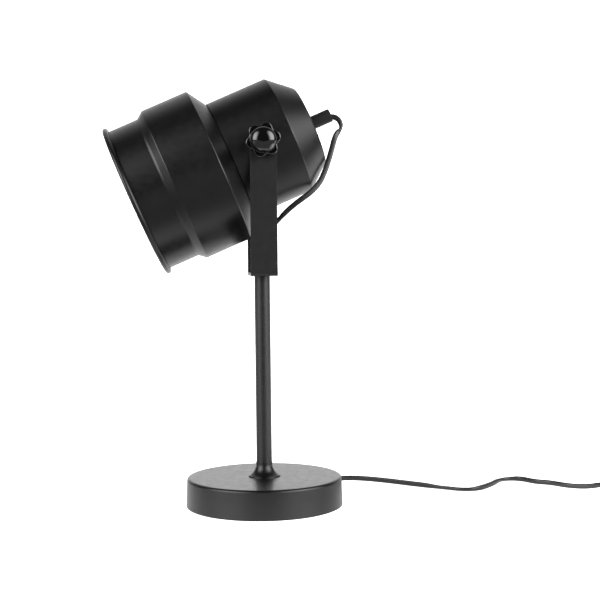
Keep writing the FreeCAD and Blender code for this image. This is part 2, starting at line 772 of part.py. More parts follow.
def plug_body():
    """Flat two-pin plug: waisted moulded body with its tapered sleeve, made along +X."""
    stations = [(0.0, 9.0, 8.4), (5.0, 13.0, 10.0), (17.0, 30.0, 13.4), (PLUG_L, 35.0, 13.6)]
    wires = []
    for x, width, height in stations:
        slab = rounded_slab(height, width, 0, 1, height * 0.42)
        slab.rotate(ORIGIN, Y_AXIS, 90)
        slab.translate(V(x, 0, 0))
        wires.append(min(slab.Faces, key=lambda f: f.CenterOfMass.x).OuterWire)
    body = Part.makeLoft(wires, True)
    sleeve = lathe([(0, -PLUG_SLEEVE_L), (3.6, -PLUG_SLEEVE_L), (4.4, 1.0), (0, 1.0)], [0, 0.6, 0, 0])
    sleeve.rotate(ORIGIN, Y_AXIS, 90)
    pins = [Part.makeCylinder(PIN_R, 10, V(PLUG_L - 9, y, 0), X_AXIS) for y in pin_places()]
    return body.fuse(sleeve).cut(pins).removeSplitter()


def pin_places():
    return (-PIN_SPACING / 2, PIN_SPACING / 2)


def plug_pins():
    pins = []
    for y in pin_places():
        pin = Part.makeCylinder(PIN_R, PIN_L + 9, V(PLUG_L - 9, y, 0), X_AXIS)
        tip = max(pin.Edges, key=lambda e: e.CenterOfMass.x)
        pins.append(pin.makeFillet(1.4, [tip]))
    return Part.makeCompound(pins)


# --- write one file per piece -------------------------------------------------------------
os.makedirs("parts", exist_ok=True)

save("base_pad", lathe([(0, 0), (PAD_R, 0), (PAD_R, PAD_TOP), (0, PAD_TOP)]))
save("base_plate", lathe([(0, PAD_TOP), (PLATE_R, PAD_TOP), (PLATE_R, PLATE_TOP), (0, PLATE_TOP)]))
cover = base_cover()
save("base_cover", cover)
save("base_weight", base_weight())
save("base_gland", base_gland(cover))
save("base_washer", tube(12.0, NIPPLE_R + 0.05, RECESS_TOP - WASHER_H, RECESS_TOP))
base_nut_low = RECESS_TOP - WASHER_H - NUT_H
save("base_nut", hex_nut(NIPPLE_R, base_nut_low))
save("base_nipple", tube(NIPPLE_R, NIPPLE_BORE_R, base_nut_low - 1, BASE_TOP + 18))
save("stem_foot_bush", tube(STEM_BORE_R, NIPPLE_R, BASE_TOP, BASE_TOP + 20))
save("stem", tube(STEM_R, STEM_BORE_R, BASE_TOP, YOKE_BOTTOM))
save("stem_collar", stem_collar())
save("stem_head_bush", tube(STEM_BORE_R, NIPPLE_R, YOKE_BOTTOM - 20, YOKE_BOTTOM))

web_top = YOKE_BOTTOM + YOKE_T
yoke_nut_top = web_top + WASHER_H + NUT_H
nipple_top = yoke_nut_top + 4
bush_top = nipple_top + 3
save("yoke", yoke())
save("yoke_washer", tube(10.0, NIPPLE_R + 0.05, web_top, web_top + WASHER_H))
save("yoke_nut", hex_nut(NIPPLE_R, web_top + WASHER_H))
save("yoke_nipple", tube(NIPPLE_R, NIPPLE_BORE_R, YOKE_BOTTOM - 15, nipple_top))
bush = [
    (NIPPLE_R, yoke_nut_top),
    (6.6, yoke_nut_top),
    (6.6, bush_top),
    (FLEX_BORE_R, bush_top),
    (FLEX_BORE_R, nipple_top),
    (NIPPLE_R, nipple_top),
]
save("cable_bush", lathe(bush, [0, 0, 1.6, 1.0, 0, 0]))

save("front_shade", front_shade())
save("rear_housing", rear_housing())
save("lampholder_cap", lampholder_cap())
save("lampholder_body", lampholder_body())
save("lampholder_shell", on_holder(tube(SHELL_R, SHELL_R - SHELL_WALL, SHELL_START, BLOCK_START)))
save("contact_block", contact_block())
save("centre_contact", centre_contact())
save("lampholder_nipple", on_holder(tube(NIPPLE_R, NIPPLE_BORE_R, HOLDER_L - 8, HOLDER_L + 18)))
save("lampholder_nut", on_holder(tube(7.6, NIPPLE_R, HOLDER_L, HOLDER_L + HOLDER_NUT_H)))
save("grip_washer", boss_washer())
save("cord_grip", cord_grip())
save("grip_screw", grip_screw())
save("bulb_glass", bulb_glass())
save("bulb_cap", bulb_cap())
save("pivot_nuts", Part.makeCompound([pivot_nut(side) for side in (-1, 1)]))
save("pivot_spacers", Part.makeCompound([pivot_spacer(side) for side in (-1, 1)]))

save_knob("knob_near", -1)
save_knob("knob_far", 1)

flex_joint_t = GRIP_T[1] - 5
stem_mouth = V(0, 0, nipple_top)
holder_flex = Part.makeCylinder(FLEX_D / 2, 36.0, V(0, 0, flex_joint_t - 36.0))
save("holder_flex", on_head(holder_flex))
out_of_grip = [head_point(flex_joint_t), head_point(FLEX_TURN_T)]
into_stem = [stem_mouth + V(0, 0, 13), stem_mouth]
save("head_flex", cord("head_flex", out_of_grip + HEAD_FLEX_POINTS + into_stem))

gland_way = direction(GLAND_AZIMUTH)
turn_in = V(0, 0, GLAND_Z)
gland_joint = gland_way * LEAD_JOINT_R + turn_in
inner_path = Part.Wire(rounded_path([stem_mouth, turn_in, gland_joint], [INNER_BEND_R]))
inner_section = Part.Wire(Part.makeCircle(FLEX_D / 2, stem_mouth, Z_AXIS))
save("inner_lead", inner_path.makePipeShell([inner_section], True, True))

switch_way = direction(SWITCH_HEADING)
switch_in = SWITCH_START + V(0, 0, SWITCH_SPLIT_Z)
switch_out = switch_in + switch_way * SWITCH_L
out_of_gland = [gland_joint, gland_joint + gland_way * 11]
into_switch = [switch_in - switch_way * 13, switch_in]
save("mains_cord_a", cord("mains_cord_a", out_of_gland + MAINS_POINTS_A + into_switch))

coil_in = COIL_CENTRE + V(COIL_R, COIL_STUB, FLEX_REST_Z)
coil_out = COIL_CENTRE + V(-COIL_STUB, -COIL_R, COIL_OUT_Z)
save("mains_cord_b", cord("mains_cord_b", [switch_out] + MAINS_POINTS_B + [coil_in]))
save("cord_coil", cord_coil())
save("coil_tie", coil_tie())
save("plug_lead", cord("plug_lead", [coil_out] + PLUG_LEAD_POINTS + [PLUG_START]))

plug_face_at = PLUG_START + direction(PLUG_HEADING) * PLUG_SLEEVE_L
save("plug_body", on_heading(plug_body(), plug_face_at, PLUG_HEADING))
save("plug_pins", on_heading(plug_pins(), plug_face_at, PLUG_HEADING))

tray, lid = switch_halves()
save("switch_base", on_heading(tray, SWITCH_START, SWITCH_HEADING))
save("switch_cover", on_heading(lid, SWITCH_START, SWITCH_HEADING))
save("switch_screws", on_heading(switch_screws(), SWITCH_START, SWITCH_HEADING))
save("switch_contacts", on_heading(switch_contacts(), SWITCH_START, SWITCH_HEADING))
save("switch_rocker", on_heading(switch_rocker(), SWITCH_START, SWITCH_HEADING))
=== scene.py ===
"""Looks of the tabletop searchlight lamp, built around its CAD frame."""

import math

import bpy
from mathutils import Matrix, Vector


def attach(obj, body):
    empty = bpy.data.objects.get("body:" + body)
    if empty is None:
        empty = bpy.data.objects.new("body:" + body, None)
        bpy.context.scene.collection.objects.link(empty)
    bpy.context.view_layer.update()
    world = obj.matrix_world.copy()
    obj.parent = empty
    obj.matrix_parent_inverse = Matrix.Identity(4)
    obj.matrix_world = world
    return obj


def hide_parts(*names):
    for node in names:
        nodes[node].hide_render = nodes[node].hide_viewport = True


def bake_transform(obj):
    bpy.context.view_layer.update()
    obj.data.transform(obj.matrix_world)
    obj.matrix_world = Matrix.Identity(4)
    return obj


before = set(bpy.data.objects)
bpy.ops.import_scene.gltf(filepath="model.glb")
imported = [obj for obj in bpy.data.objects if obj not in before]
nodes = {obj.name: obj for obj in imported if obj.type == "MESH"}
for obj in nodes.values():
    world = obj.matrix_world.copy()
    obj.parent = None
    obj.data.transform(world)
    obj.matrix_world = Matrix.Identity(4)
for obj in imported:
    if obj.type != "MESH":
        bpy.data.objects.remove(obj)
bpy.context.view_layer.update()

# Camera
CAMERA_PLACE = (-0.048, -1.346, 0.2816)
CAMERA_HEADING = 3.9  # degrees that the view turns from +Y towards +X
CAMERA_PITCH = -1.935
CAMERA_ROLL = 0.6
CAMERA_LENS = 70.33
CAMERA_SENSOR = 36.0
CAMERA_NEAR = 0.05
CAMERA_FAR = 100.0

# The flat two-core flex
FLEX_WIDTH = 0.0064
FLEX_DEPTH = 0.0040
FLEX_STRAIGHT = (FLEX_WIDTH - FLEX_DEPTH) / 2.0  # from its middle to where an edge turns round
FLEX_WAIST = 0.06  # how hollow its faces are, as a share of its depth
FLEX_CORNERS = 20
FLEX_REST_Z = 0.00305
LINE_STEPS = 12

# Routes: from the gland to the switch, from the switch to the coil, from the coil to the plug,
# and the head's loop
ROUTE_TO_SWITCH = [
    (0.05991, 0.09225, 0.009),
    (0.0659, 0.10148, 0.009),
    (0.071, 0.114, 0.0064),
    (0.082, 0.1285, 0.0036),
    (0.1, 0.1365, 0.00305),
    (0.124, 0.1355, 0.00305),
    (0.153, 0.1175, 0.00305),
    (0.182, 0.0925, 0.00305),
    (0.206, 0.073, 0.00305),
    (0.2245, 0.0595, 0.00305),
    (0.2415, 0.047, 0.00305),
    (0.261, 0.0485, 0.00305),
    (0.280, 0.070, 0.00305),
    (0.290, 0.0855, 0.00305),
    (0.3045, 0.108, 0.00305),
    (0.3275, 0.107, 0.00305),
    (0.340, 0.083, 0.00305),
    (0.357, 0.075, 0.00305),
    (0.3715, 0.054, 0.00305),
    (0.385, 0.0465, 0.00305),
    (0.3973, 0.0394, 0.0044),
    (0.40958, 0.0358, 0.007),
    (0.4222, 0.0327, 0.007),
]
ROUTE_TO_COIL = [
    (0.48629, 0.01696, 0.007),
    (0.4993, 0.0138, 0.0066),
    (0.5098, 0.0053, 0.005),
    (0.5158, -0.0067, 0.0034),
    (0.5185, -0.0202, 0.00305),
    (0.5205, -0.034, 0.00305),
]
ROUTE_TO_PLUG = [
    (0.458, -0.088, 0.0078),
    (0.449, -0.0872, 0.0072),
    (0.44002, -0.08713, 0.007),
]
ROUTE_OF_HEAD = [
    (0.07645, 0.0, 0.44468),
    (0.08104, 0.0, 0.44667),
    (0.0890, -0.0005, 0.4441),
    (0.0929, -0.0015, 0.4367),
    (0.0914, -0.0035, 0.4304),
    (0.0873, -0.0060, 0.4268),
    (0.0839, -0.0090, 0.4201),
    (0.0812, -0.0120, 0.4104),
    (0.0772, -0.0160, 0.3977),
    (0.0722, -0.0200, 0.3832),
    (0.0653, -0.0240, 0.3687),
    (0.0543, -0.0275, 0.3573),
    (0.0399, -0.0295, 0.3475),
    (0.0261, -0.0275, 0.3362),
    (0.0132, -0.0160, 0.3216),
    (0.0040, -0.0050, 0.3035),
    (0.0000, 0.0000, 0.2903),
    (0.0000, 0.0000, 0.2773),
]

# How the flex is turned about its own line, as (distance from its start, degrees)
ROLLS_TO_SWITCH = [
    (0.170, 0.0),
    (0.205, 62.0),
    (0.238, 62.0),
    (0.262, 0.0),
    (0.296, 0.0),
    (0.318, 52.0),
    (0.329, 52.0),
    (0.348, 0.0),
]
ROLLS_OF_COIL = [(0.0, 0.0)]
ROLLS_OF_HEAD = [
    (0.010, 20.0),
    (0.020, 62.0),
    (0.026, 96.0),
    (0.034, 168.0),
    (0.045, 180.0),
    (0.120, 180.0),
    (0.148, 212.0),
    (0.160, 240.0),
    (0.168, 265.0),
]

# The put-away coil: the flex stands on edge, in turns side by side that run inwards on the table
# and outwards on top of them
COIL_CENTRE = (0.486, -0.058)
COIL_MEAN_R = 0.0285
COIL_PITCH = 0.0041
COIL_COLUMNS = 4
COIL_TOP_Z = 0.00915
COIL_TURNS = 6.25
COIL_CLIMB = 0.35  # part of a turn in which the flex climbs onto the lower turns
COIL_STEPS = 16

# The coil's tie: corners of its loop as (across the bundle, height, start of the turn in degrees)
TIE_AZIMUTH = 150.0
TIE_WIDTH = 0.0045
TIE_THICK = 0.0007
TIE_CORNER_R = 0.0024
TIE_CORNER_STEPS = 5
TIE_CORNERS = [
    (0.0039, 0.0105, 0.0),
    (-0.0053, 0.0105, 90.0),
    (-0.0053, 0.0028, 180.0),
    (0.0039, 0.0028, 270.0),
]

# The knobs: a star skirt seated on the yoke's washer, under a dome
PIVOT_Z = 0.4116
KNOB_SEAT_Y = 0.0753
KNOB_TIP_R = 0.0195
KNOB_VALLEY_R = 0.0158
KNOB_LOBE_R = 0.0066
KNOB_LOBES = 6
KNOB_TURN = 14.0  # degrees from +X to the first lobe
KNOB_SIDES = 96
KNOB_SKIRT_H = 0.0080
KNOB_SKIRT = [  # its section, as (distance from the seat, distance inside the outline)
    (0.0, 0.0016),
    (0.0, 0.0014),
    (0.0004, 0.0005),
    (0.0014, 0.0),
    (0.0066, 0.0),
    (0.0073, 0.0001),
    (0.0079, 0.0008),
    (0.0080, 0.0014),
    (0.0080, 0.0015),
]
KNOB_DOME_R = 0.0143
KNOB_DOME_H = 0.0126
KNOB_DOME_FLARE = 0.00025  # how much wider the dome is at its foot
KNOB_DOME_STEPS = 20
KNOB_DOME_FLATNESS = 2.9  # 2 is an ellipse; more is flatter in the middle and rounder at the rim
KNOB_DOME_POLE = 0.03  # radius of its flat pole, as a share of the dome's

# The strain relief in the base's side
GLAND_AZIMUTH = 57.0
GLAND_Z = 0.0090
GLAND_START = 0.0890
GLAND_FLANGE = 0.0030
GLAND_ROOT_R = 0.0062
GLAND_RIBS = 6
GLAND_RIB_STEP = 0.0034
GLAND_RIB_R = 0.0051
GLAND_TAPER = 0.0002  # how much smaller each rib is than the one before
GLAND_RIB = [  # as (share of a rib's step, depth under the rib's top)
    (0.10, 0.0009),
    (0.36, 0.0009),
    (0.46, 0.0002),
    (0.56, 0.0),
    (0.92, 0.0),
]
GLAND_END = [  # as (distance past the last rib, radius)
    (0.0, 0.0039),
    (0.0008, 0.0036),
    (0.0012, FLEX_WIDTH / 2.0),
]
GLAND_SIDES = 40

# The yoke's edges
WELD_GAP = 0.00001
FLAT_WITHIN = 0.5  # degrees between faces that make one flat face
EDGE_SOFTNESS = 0.0008
EDGE_SEGMENTS = 2
EDGE_FROM = 40.0  # degrees at which an edge is sharp enough to be softened
FLAT_FACE_WEIGHT = 100

# Finishes: noise in features per metre, and the heights of its bumps in metres
COAT_TONE = 45.0
COAT_GLOSS = 160.0
COAT_PEEL = 650.0
COAT_GRAIN = 3200.0
COAT_PEEL_H = 0.00002
COAT_GRAIN_H = 0.000006
MOULD_TONE = 60.0
MOULD_GLOSS = 220.0
MOULD_GRAIN = 2600.0
METAL_TONE = 240.0
METAL_GLOSS = 700.0
METAL_GRAIN = 1800.0
METAL_GRAIN_H = 0.000004
NOISE_LOW = 0.3  # nearly all of the noise lies between these two
NOISE_HIGH = 0.7

# Stage
FLOOR_SIZE = 60.0
WALL_R = 28.0
WALL_H = 16.0
WALL_SIDES = 64
PALE_TONE = 0.8
TABLE_TONE = 0.35
FLOOR_GLOW = 0.7
WALL_GLOW = 1.05
ROOM_GLOW = 0.006
TABLE_GLOW = 0.27

# Soft lights far off, as (azimuth, elevation, full radius, faded radius, strength). The first four
# are in degrees; azimuth 0 is the camera's side and 90 the lamp's right.
SOFT_LIGHTS = {
    "right": (56.0, 17.0, 4.0, 40.0, 6.4),
    "left": (-58.0, 17.0, 4.0, 38.0, 5.6),
    "behind": (180.0, 7.0, 4.0, 28.0, 0.95),
    "behind_wide": (176.0, 24.0, 8.0, 60.0, 0.85),
}
# Painted pools of light that the table glows with, as (x, y, full radius, faded radius, strength)
POOLS = {
    "under": (-0.05, 0.0, 0.14, 0.40, 0.85),
    "front": (0.0, -0.17, 0.05, 0.20, 0.16),
    "right": (0.75, 0.0, 0.25, 0.56, 2.2),
    "left": (-2.0, 0.0, 0.60, 1.44, 0.7),
    "behind": (0.0, 10.3, 9.85, 10.15, 1.2),
}


def new_object(name, data):
    thing = bpy.data.objects.new(name, data)
    bpy.context.scene.collection.objects.link(thing)
    return thing


def place_camera():
    data = bpy.data.cameras.new("camera")
    data.lens = CAMERA_LENS
    data.sensor_width = CAMERA_SENSOR
    data.clip_start = CAMERA_NEAR
    data.clip_end = CAMERA_FAR
    camera = new_object("camera", data)
    camera.location = CAMERA_PLACE
    camera.rotation_euler = (
        math.radians(90.0 + CAMERA_PITCH),
        math.radians(CAMERA_ROLL),
        math.radians(-CAMERA_HEADING),
    )
    bpy.context.scene.camera = camera


def mesh_object(name, corners, faces):
    mesh = bpy.data.meshes.new(name)
    mesh.from_pydata(corners, [], faces)
    mesh.update()
    for polygon in mesh.polygons:
        polygon.use_smooth = True
    return new_object(name, mesh)


def smooth_line(points):
    """Points along the NURBS spline that has the route's points as its control points."""
    data = bpy.data.curves.new("route", "CURVE")
    data.dimensions = "3D"
    data.resolution_u = LINE_STEPS
    spline = data.splines.new("NURBS")
    spline.points.add(len(points) - 1)
    for control, point in zip(spline.points, points):
        control.co = (*point, 1.0)
    spline.order_u = 3
    spline.use_endpoint_u = True
    route = bpy.data.objects.new("route", data)
    mesh = bpy.data.meshes.new_from_object(route)
    line = [corner.co.copy() for corner in mesh.vertices]
    bpy.data.meshes.remove(mesh)
    bpy.data.objects.remove(route)
    bpy.data.curves.remove(data)
    return line


def distances(line):
    """How far along the line each of its points is."""
    along = [0.0]
    for before, after in zip(line, line[1:]):
        along.append(along[-1] + (after - before).length)
    return along


def tangents(line):
    found = []
    for index in range(len(line)):
        before = line[max(index - 1, 0)]
        after = line[min(index + 1, len(line) - 1)]
        found.append((after - before).normalized())
    return found


def blend_of(stations, at):
    """The value at a distance, eased between (distance, value) stations."""
    if at <= stations[0][0]:
        return stations[0][1]
    for (start, first), (end, last) in zip(stations, stations[1:]):
        if at <= end:
            share = (at - start) / (end - start)
            return first + (last - first) * share * share * (3.0 - 2.0 * share)
    return stations[-1][1]


def ring_faces(rings, count):
    """Faces between rings of corners, closed at both ends."""
    faces = []
    for ring in range(rings - 1):
        low = ring * count
        high = low + count
        for corner in range(count):
            beside = (corner + 1) % count
            faces.append((low + corner, low + beside, high + beside, high + corner))
    last = (rings - 1) * count
    faces.append(tuple(reversed(range(count))))
    faces.append(tuple(last + corner for corner in range(count)))
    return faces


def sweep(name, line, wides, section):
    """A closed tube whose section is (across, through) pairs: across follows wides, one for each
    point of the line."""
    corners = []
    for point, ahead, wide in zip(line, tangents(line), wides):
        through = ahead.cross(wide).normalized()
        level = through.cross(ahead).normalized()
        corners.extend(point + level * across + through * deep for across, deep in section)
    return mesh_object(name, corners, ring_faces(len(line), len(section)))


def revolved(name, profile, start, axis):
    """A closed form turned about an axis, from (distance along it, radius) pairs."""
    ahead = Vector(axis).normalized()
    beside = ahead.orthogonal().normalized()
    across = ahead.cross(beside)
    corners = []
    for along, radius in profile:
        for side in range(GLAND_SIDES):
            angle = 2.0 * math.pi * side / GLAND_SIDES
            out = beside * math.cos(angle) + across * math.sin(angle)
            corners.append(Vector(start) + ahead * along + out * radius)
    return mesh_object(name, corners, ring_faces(len(profile), GLAND_SIDES))


def flex_section():
    """The flex's outline as (across, through), with round edges and slightly hollow faces."""
    outline = []
    for step in range(FLEX_CORNERS):
        angle = 2.0 * math.pi * (step + 0.5) / FLEX_CORNERS
        across = math.copysign(FLEX_STRAIGHT, math.cos(angle))
        across += math.cos(angle) * FLEX_DEPTH / 2.0
        hollow = 1.0 - FLEX_WAIST * math.cos(math.pi * across / FLEX_WIDTH) ** 2
        outline.append((across, math.sin(angle) * FLEX_DEPTH / 2.0 * hollow))
    return outline


def lying_flex(name, line, rolls):
    """A flex on the table, and the line that it follows. A roll of 0 stands it on edge and 90 lays
    it flat, and it comes down as it turns flat."""
    wides = []
    settled = []
    for point, ahead, at in zip(line, tangents(line), distances(line)):
        roll = math.radians(blend_of(rolls, at))
        side = ahead.cross(Vector((0.0, 0.0, 1.0))).normalized()
        upward = side.cross(ahead).normalized()
        wides.append(upward * math.cos(roll) + side * math.sin(roll))
        half_height = FLEX_STRAIGHT * abs(math.cos(roll)) + FLEX_DEPTH / 2.0
        settled.append(point - Vector((0.0, 0.0, FLEX_WIDTH / 2.0 - half_height)))
    return sweep(name, settled, wides, flex_section()), settled


def hanging_flex(name, line, rolls):
    """The head's flex. A roll of 0 turns its broad face to the side."""
    wides = []
    for ahead, at in zip(tangents(line), distances(line)):
        roll = math.radians(blend_of(rolls, at))
        edge = Vector((0.0, 1.0, 0.0)).cross(ahead).normalized()
        wides.append(edge * math.cos(roll) + ahead.cross(edge) * math.sin(roll))
    return sweep(name, line, wides, flex_section())


def coil_points():
    """The coil's turns, clockwise as seen from above."""
    points = []
    spread = 1.0 / math.cos(math.pi / COIL_STEPS)
    innermost = COIL_COLUMNS - 1.0
    for step in range(round(COIL_TURNS * COIL_STEPS) + 1):
        turn = step / COIL_STEPS
        past_innermost = turn - innermost
        climbed = min(max(past_innermost / COIL_CLIMB, 0.0), 1.0)
        inward = min(turn, innermost) - max(past_innermost - COIL_CLIMB, 0.0)
        column = innermost / 2.0 - inward
        radius = (COIL_MEAN_R + COIL_PITCH * column) * spread
        angle = -2.0 * math.pi * turn
        height = FLEX_REST_Z + (COIL_TOP_Z - FLEX_REST_Z) * climbed
        points.append(
            (
                COIL_CENTRE[0] + radius * math.cos(angle),
                COIL_CENTRE[1] + radius * math.sin(angle),
                height,
            )
        )
    return points


def tie_band():
    """Flat band round the coil's bundle, upright across the turns."""
    way = math.radians(TIE_AZIMUTH)
    out = Vector((math.cos(way), math.sin(way), 0.0))
    along = Vector((-out.y, out.x, 0.0))
    centre = Vector((*COIL_CENTRE, 0.0))
    line = []
    for across, height, start in TIE_CORNERS:
        for step in range(TIE_CORNER_STEPS + 1):
            angle = math.radians(start + 90.0 * step / TIE_CORNER_STEPS)
            far = across + TIE_CORNER_R * math.cos(angle)
            up = height + TIE_CORNER_R * math.sin(angle)
            line.append(centre + out * (COIL_MEAN_R + far) + Vector((0.0, 0.0, up)))
    line.append(line[0])
    half_w = TIE_WIDTH / 2.0
    half_t = TIE_THICK / 2.0
    section = [(-half_w, -half_t), (half_w, -half_t), (half_w, half_t), (-half_w, half_t)]
    return sweep("tie_band", line, [along] * len(line), section)


def knob_reach(angle):
    """Radius of the knob's outline: round lobes joined by tangent hollow arcs."""
    step = 2.0 * math.pi / KNOB_LOBES
    off_lobe = abs((angle + step / 2.0) % step - step / 2.0)
    off_valley = step / 2.0 - off_lobe
    half = math.cos(step / 2.0)
    lobe_at = KNOB_TIP_R - KNOB_LOBE_R
    gap = lobe_at**2 + KNOB_VALLEY_R**2 - 2.0 * lobe_at * KNOB_VALLEY_R * half
    spare = KNOB_LOBE_R - KNOB_VALLEY_R + lobe_at * half
    hollow_r = (gap - KNOB_LOBE_R**2) / (2.0 * spare)
    hollow_at = KNOB_VALLEY_R + hollow_r
    share = KNOB_LOBE_R / (KNOB_LOBE_R + hollow_r)
    touch_x = lobe_at + (hollow_at * half - lobe_at) * share
    touch_y = hollow_at * math.sin(step / 2.0) * share
    if off_lobe < math.atan2(touch_y, touch_x):
        square = KNOB_LOBE_R**2 - (lobe_at * math.sin(off_lobe)) ** 2
        return lobe_at * math.cos(off_lobe) + math.sqrt(square)
    square = hollow_r**2 - (hollow_at * math.sin(off_valley)) ** 2
    return hollow_at * math.cos(off_valley) - math.sqrt(square)


def knob_head(name, side):
    """Glossy star skirt under a high dome. Side is -1 for the near knob and 1 for the far one."""
    power = 2.0 / KNOB_DOME_FLATNESS
    # Each ring is its distance from the seat, and its distance inside the outline or its radius
    rings = [(depth, inset, None) for depth, inset in KNOB_SKIRT]
    rings.append((KNOB_SKIRT_H, 0.0, KNOB_DOME_R + KNOB_DOME_FLARE))
    for step in range(KNOB_DOME_STEPS):
        rise = math.pi / 2.0 * step / KNOB_DOME_STEPS
        height = KNOB_DOME_H * math.sin(rise) ** power
        rings.append((KNOB_SKIRT_H + height, 0.0, KNOB_DOME_R * math.cos(rise) ** power))
    rings.append((KNOB_SKIRT_H + KNOB_DOME_H, 0.0, KNOB_DOME_R * KNOB_DOME_POLE))
    corners = []
    for depth, inset, radius in rings:
        for step in range(KNOB_SIDES):
            angle = 2.0 * math.pi * step / KNOB_SIDES
            reach = radius or knob_reach(angle - math.radians(KNOB_TURN)) - inset
            corners.append(
                (
                    reach * math.cos(angle),
                    side * (KNOB_SEAT_Y + depth),
                    PIVOT_Z - side * reach * math.sin(angle),
                )
            )
    return mesh_object(name, corners, ring_faces(len(rings), KNOB_SIDES))


def gland_sleeve():
    """Moulded strain relief: a flange against the base and a tapered sleeve with ribs."""
    profile = [(0.0, GLAND_ROOT_R), (GLAND_FLANGE, GLAND_ROOT_R)]
    for rib in range(GLAND_RIBS):
        start = GLAND_FLANGE + GLAND_RIB_STEP * rib
        outer = GLAND_RIB_R - GLAND_TAPER * rib
        for share, depth in GLAND_RIB:
            profile.append((start + GLAND_RIB_STEP * share, outer - depth))
    end = GLAND_FLANGE + GLAND_RIB_STEP * GLAND_RIBS
    for past, radius in GLAND_END:
        profile.append((end + past, radius))
    way = math.radians(GLAND_AZIMUTH)
    ahead = (math.cos(way), math.sin(way), 0.0)
    start = (GLAND_START * ahead[0], GLAND_START * ahead[1], GLAND_Z)
    return revolved("gland_sleeve", profile, start, ahead)


def soften_edges(node):
    """Joins the split faces of a CAD node and rounds the edges between them a little."""
    weld = node.modifiers.new("weld", "WELD")
    weld.merge_threshold = WELD_GAP
    joined = node.modifiers.new("joined", "DECIMATE")
    joined.decimate_type = "DISSOLVE"
    joined.angle_limit = math.radians(FLAT_WITHIN)
    bevel = node.modifiers.new("bevel", "BEVEL")
    bevel.width = EDGE_SOFTNESS
    bevel.segments = EDGE_SEGMENTS
    bevel.limit_method = "ANGLE"
    bevel.angle_limit = math.radians(EDGE_FROM)
    flat = node.modifiers.new("flat", "WEIGHTED_NORMAL")
    flat.weight = FLAT_FACE_WEIGHT


class Shader:
    """A material's nodes, added and linked by name."""

    def __init__(self, name):
        self.material = bpy.data.materials.new(name)
        self.material.use_nodes = True
        self.tree = self.material.node_tree
        self.surface = self.tree.nodes["Principled BSDF"]
        self.place = self.add("ShaderNodeTexCoord").outputs["Object"]

    def add(self, kind, **settings):
        node = self.tree.nodes.new(kind)
        for key, value in settings.items():
            setattr(node, key, value)
        return node

    def link(self, start, end):
        self.tree.links.new(start, end)

    def set(self, **values):
        for key, value in values.items():
            self.surface.inputs[key.replace("_", " ")].default_value = value

    def noise(self, scale, detail=2.0):
        """Noise with features of about 1 / scale metres."""
        node = self.add("ShaderNodeTexNoise")
        node.inputs["Scale"].default_value = scale
        node.inputs["Detail"].default_value = detail
        self.link(self.place, node.inputs["Vector"])
        return node.outputs["Fac"]

    def coloured(self, value, dark, light):
        node = self.add("ShaderNodeMix", data_type="RGBA")
        node.inputs["A"].default_value = (*dark, 1.0)
        node.inputs["B"].default_value = (*light, 1.0)
        self.link(value, node.inputs["Factor"])
        self.link(node.outputs["Result"], self.surface.inputs["Base Color"])

    def rough(self, value, low, high):
        node = self.add("ShaderNodeMapRange")
        node.inputs["From Min"].default_value = NOISE_LOW
        node.inputs["From Max"].default_value = NOISE_HIGH
        node.inputs["To Min"].default_value = low
        node.inputs["To Max"].default_value = high
        self.link(value, node.inputs["Value"])
        self.link(node.outputs["Result"], self.surface.inputs["Roughness"])

    def bump(self, heights):
        """Bumps one over the other, from (value, height in metres) pairs."""
        normal = None
        for value, height in heights:
            node = self.add("ShaderNodeBump")
            node.inputs["Distance"].default_value = height
            self.link(value, node.inputs["Height"])
            if normal:
                self.link(normal, node.inputs["Normal"])
            normal = node.outputs["Normal"]
        self.link(normal, self.surface.inputs["Normal"])


def grey(level):
    return (level, level, level)


def coated(name, dark, light, low, high):
    """Satin powder coat: a soft orange peel with a fine grain over it."""
    shader = Shader(name)
    shader.set(Specular_IOR_Level=0.5)
    shader.coloured(shader.noise(COAT_TONE, 3.0), dark, light)
    shader.rough(shader.noise(COAT_GLOSS, 3.0), low, high)
    peel = (shader.noise(COAT_PEEL), COAT_PEEL_H)
    grain = (shader.noise(COAT_GRAIN), COAT_GRAIN_H)
    shader.bump([peel, grain])
    return shader.material


def moulded(name, dark, light, low, high, grain=0.00001, level=0.3):
    """Moulded plastic, rubber, glass or casting with a fine grain."""
    shader = Shader(name)
    shader.set(Specular_IOR_Level=level)
    shader.coloured(shader.noise(MOULD_TONE), dark, light)
    shader.rough(shader.noise(MOULD_GLOSS), low, high)
    shader.bump([(shader.noise(MOULD_GRAIN), grain)])
    return shader.material


def metal(name, dark, light, low, high):
    shader = Shader(name)
    shader.set(Metallic=1.0)
    shader.coloured(shader.noise(METAL_TONE, 3.0), dark, light)
    shader.rough(shader.noise(METAL_GLOSS, 3.0), low, high)
    shader.bump([(shader.noise(METAL_GRAIN), METAL_GRAIN_H)])
    return shader.material


def summed(tree, base, values):
    """The base number plus all the values, as one socket."""
    total = None
    for value in values:
        node = tree.nodes.new("ShaderNodeMath")
        node.operation = "ADD"
        tree.links.new(value, node.inputs[0])
        if total:
            tree.links.new(total, node.inputs[1])
        else:
            node.inputs[1].default_value = base
        total = node.outputs["Value"]
    return total


def faded(tree, value, full, gone, strength):
    """The strength where the value is full, easing to nothing where it is gone."""
    node = tree.nodes.new("ShaderNodeMapRange")
    node.interpolation_type = "SMOOTHSTEP"
    node.inputs["From Min"].default_value = gone
    node.inputs["From Max"].default_value = full
    node.inputs["To Min"].default_value = 0.0
    node.inputs["To Max"].default_value = strength
    tree.links.new(value, node.inputs["Value"])
    return node.outputs["Result"]


def measured(tree, operation, vector, other):
    """A number from a vector socket and a fixed vector, such as their distance."""
    node = tree.nodes.new("ShaderNodeVectorMath")
    node.operation = operation
    node.inputs[1].default_value = other
    tree.links.new(vector, node.inputs[0])
    return node.outputs["Value"]


